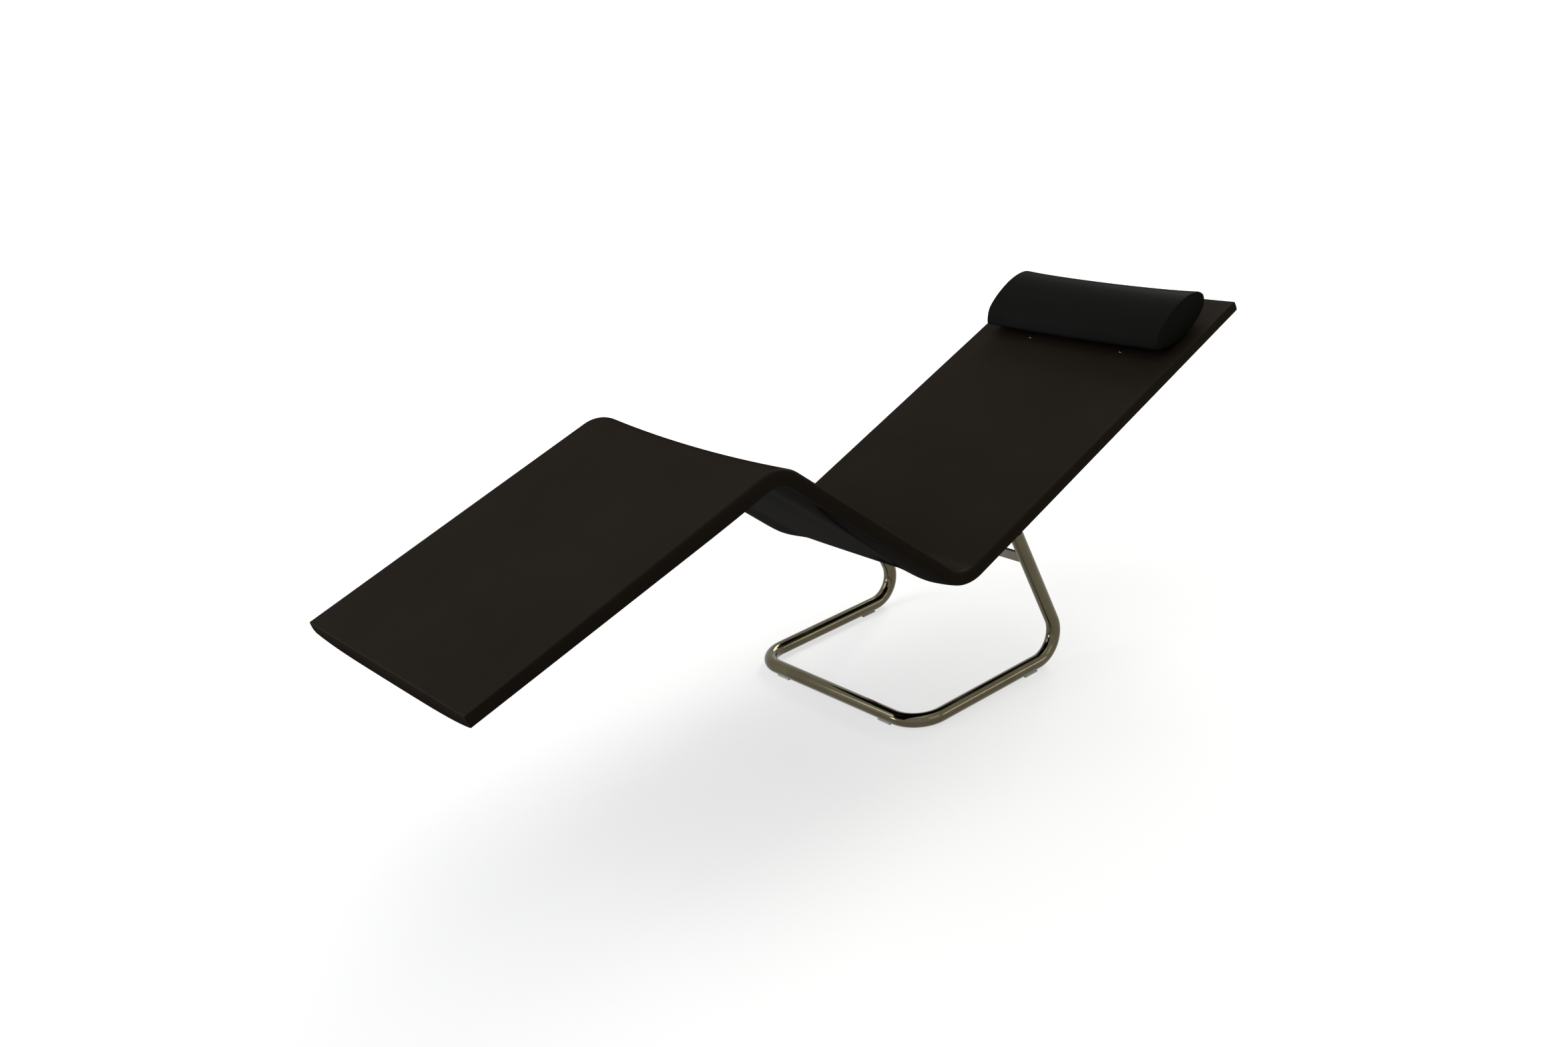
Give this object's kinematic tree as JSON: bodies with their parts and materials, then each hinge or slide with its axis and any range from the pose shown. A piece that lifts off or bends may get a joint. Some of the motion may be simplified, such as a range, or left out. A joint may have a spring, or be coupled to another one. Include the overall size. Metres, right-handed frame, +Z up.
{
  "type": "chaise longue",
  "caption": "Long padded recliner bent at knee and hip, tilting on a bent tube base, with a sliding headrest bolster and a glossy under-shell.",
  "frame": {"origin": "on the floor under the middle of the whole object", "axes": "+X to the sitter's left, +Y from the foot end to the head end, +Z up"},
  "size_m": [0.54, 1.8508, 0.6304],
  "materials": {
    "seat_leather": "smooth matte, very dark brown",
    "headrest_leather": "smooth satin, blue black",
    "foam": "open cell foam",
    "gloss_shell": "high gloss black",
    "stainless": "satin",
    "black_steel": "matte black powder coat",
    "zinc_steel": "zinc plated",
    "black_rubber": "matte",
    "black_nylon": "matte",
    "pale_nylon": "matte, undyed",
    "plywood": "raw"
  },
  "bodies": {
    "base": {"base_tube": "stainless", "cross_bar": "stainless", "axle": "stainless", "floor_glide_front_right": "pale_nylon", "floor_glide_rear_right": "pale_nylon", "floor_glide_front_left": "pale_nylon", "floor_glide_rear_left": "pale_nylon", "tube_cap_right": "black_nylon", "tube_cap_left": "black_nylon", "axle_collar_left": "zinc_steel", "axle_collar_right": "zinc_steel"},
    "seat": {"seat_cover": "seat_leather", "seat_foam": "foam", "under_shell": "gloss_shell", "stringer_left": "black_steel", "stringer_right": "black_steel", "bracket_screw_right_1": "zinc_steel", "bracket_screw_right_2": "zinc_steel", "bracket_screw_right_3": "zinc_steel", "bracket_screw_right_4": "zinc_steel", "bracket_screw_left_1": "zinc_steel", "bracket_screw_left_2": "zinc_steel", "bracket_screw_left_3": "zinc_steel", "bracket_screw_left_4": "zinc_steel", "rail_tray_left": "black_nylon", "rail_tray_right": "black_nylon", "headrest_rail_left": "stainless", "headrest_rail_right": "stainless", "bracket_left": "black_steel", "bracket_right": "black_steel", "axle_bush_left": "black_nylon", "axle_bush_right": "black_nylon", "lying_buffer_left": "black_rubber", "lying_buffer_right": "black_rubber", "sitting_buffer_left": "black_rubber", "sitting_buffer_right": "black_rubber"},
    "headrest": {"headrest_cover": "headrest_leather", "headrest_foam": "foam", "headrest_board": "plywood", "slide_shoe_left": "black_nylon", "slide_shoe_right": "black_nylon", "shoe_screw_right_1": "zinc_steel", "shoe_screw_right_2": "zinc_steel", "shoe_screw_left_1": "zinc_steel", "shoe_screw_left_2": "zinc_steel"}
  },
  "joints": [
    {"name": "seat_tilt", "type": "hinge", "parent": "base", "child": "seat", "pos_m": [0, 0.26574, 0.29002], "axis": [1, 0, 0], "range_deg": [0, 16]},
    {"name": "headrest_slide", "type": "slide", "parent": "seat", "child": "headrest", "axis": [0, -0.9373, -0.3486], "range_m": [0, 0.06]}
  ]
}
